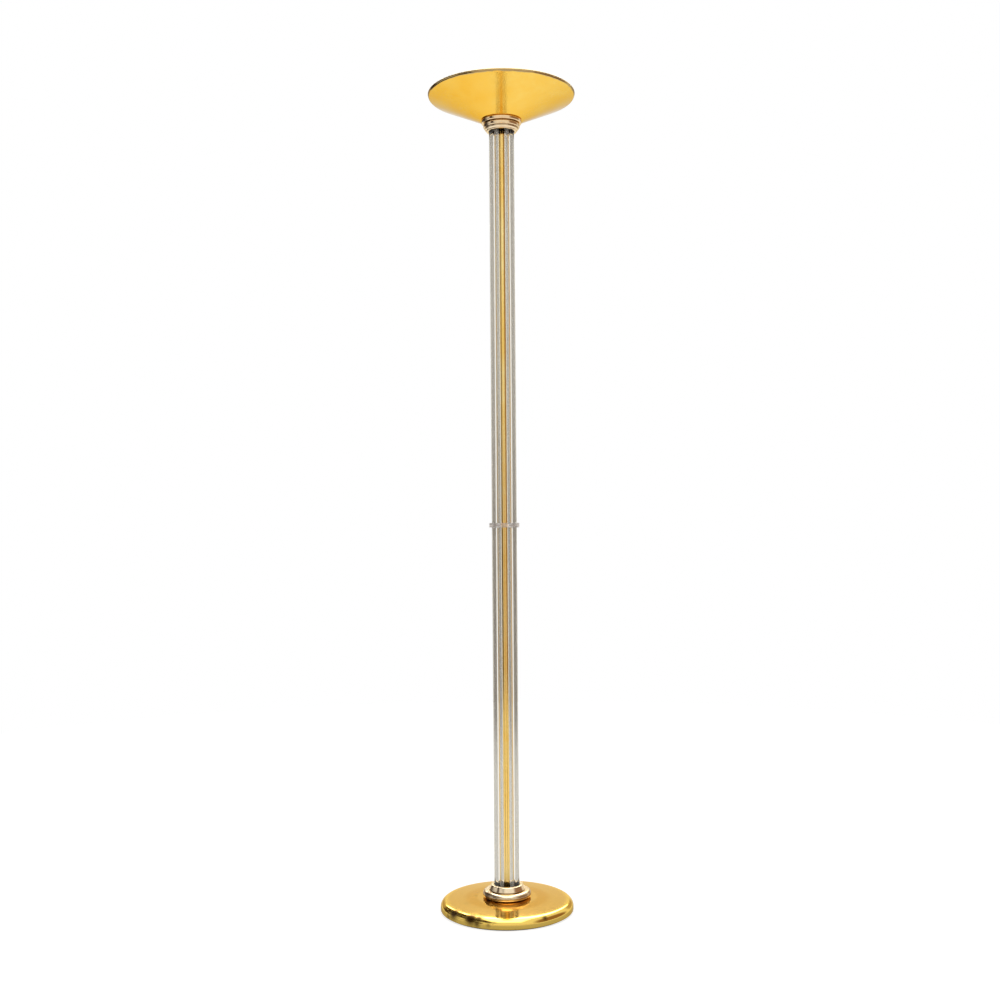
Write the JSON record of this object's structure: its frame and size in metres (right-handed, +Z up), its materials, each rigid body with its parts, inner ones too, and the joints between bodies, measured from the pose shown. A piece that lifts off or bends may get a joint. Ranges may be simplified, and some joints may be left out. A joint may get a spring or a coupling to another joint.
{
  "type": "torchiere floor lamp",
  "caption": "Free-standing brass uplighter: round weighted foot, thin tube in a ring of clear rods with a clear spacer disc, stepped collars, shallow conical dish.",
  "frame": {"origin": "on the floor under the middle of the foot", "axes": "+Z up along the column, front towards -Y, the cord's gland at the back towards +Y"},
  "size_m": [0.323, 0.323, 1.832],
  "materials": {
    "foot_brass": "polished, with faint tarnish specks",
    "collar_brass": "turned and polished, pale",
    "tube_brass": "polished tube",
    "dish_brass": "spun and polished, deep gold",
    "holder_brass": "plain brass",
    "clear_rod": "polished clear",
    "clear_disc": "polished clear",
    "cast_iron": "raw casting",
    "felt": "pressed felt",
    "steel": "zinc plated",
    "black_plastic": "moulded",
    "rubber": "soft pad",
    "porcelain": "glazed white",
    "bulb_metal": "rolled sheet",
    "black_glass": "black insulator",
    "opal_glass": "opal white"
  },
  "bodies": {
    "root": {"felt_pad": "felt", "base_weight": "cast_iron", "base_shell": "foot_brass", "base_washer": "steel", "base_nut": "steel", "base_pipe": "steel", "cable_gland": "black_plastic", "gland_nut": "black_plastic", "lower_collar": "collar_brass", "lower_rod_plate": "collar_brass", "lower_rod_pads": "rubber", "lower_tube_bush": "collar_brass", "lower_tube": "tube_brass", "tube_coupling": "collar_brass", "spacer_disc": "clear_disc", "upper_tube": "tube_brass", "upper_tube_bush": "collar_brass", "upper_rod_plate": "collar_brass", "upper_rod_pads": "rubber", "upper_collar": "collar_brass", "upper_pipe": "steel", "dish": "dish_brass", "dish_washer": "holder_brass", "dish_nut": "holder_brass", "holder_cap": "holder_brass", "holder_insert": "porcelain", "holder_skirt": "holder_brass", "screw_shell": "holder_brass", "contact_foot": "holder_brass", "lower_rod_1": "clear_rod", "lower_rod_2": "clear_rod", "lower_rod_3": "clear_rod", "lower_rod_4": "clear_rod", "lower_rod_5": "clear_rod", "lower_rod_6": "clear_rod", "upper_rod_1": "clear_rod", "upper_rod_2": "clear_rod", "upper_rod_3": "clear_rod", "upper_rod_4": "clear_rod", "upper_rod_5": "clear_rod", "upper_rod_6": "clear_rod"},
    "contact": {"contact_leaf": "holder_brass"},
    "bulb": {"bulb_tip": "bulb_metal", "bulb_insulator": "black_glass", "bulb_cap": "bulb_metal", "bulb_glass": "opal_glass"}
  },
  "joints": [
    {"name": "bulb_lift", "type": "slide", "parent": "root", "child": "bulb", "axis": [0, 0, 1], "range_m": [0, 0.022]},
    {"name": "contact_press", "type": "hinge", "parent": "root", "child": "contact", "pos_m": [-0.0056, 0, 1.7593], "axis": [0, 1, 0], "range_deg": [0, 8], "stiffness_Nm_per_rad": 0.05, "springref_deg": -11.46}
  ]
}
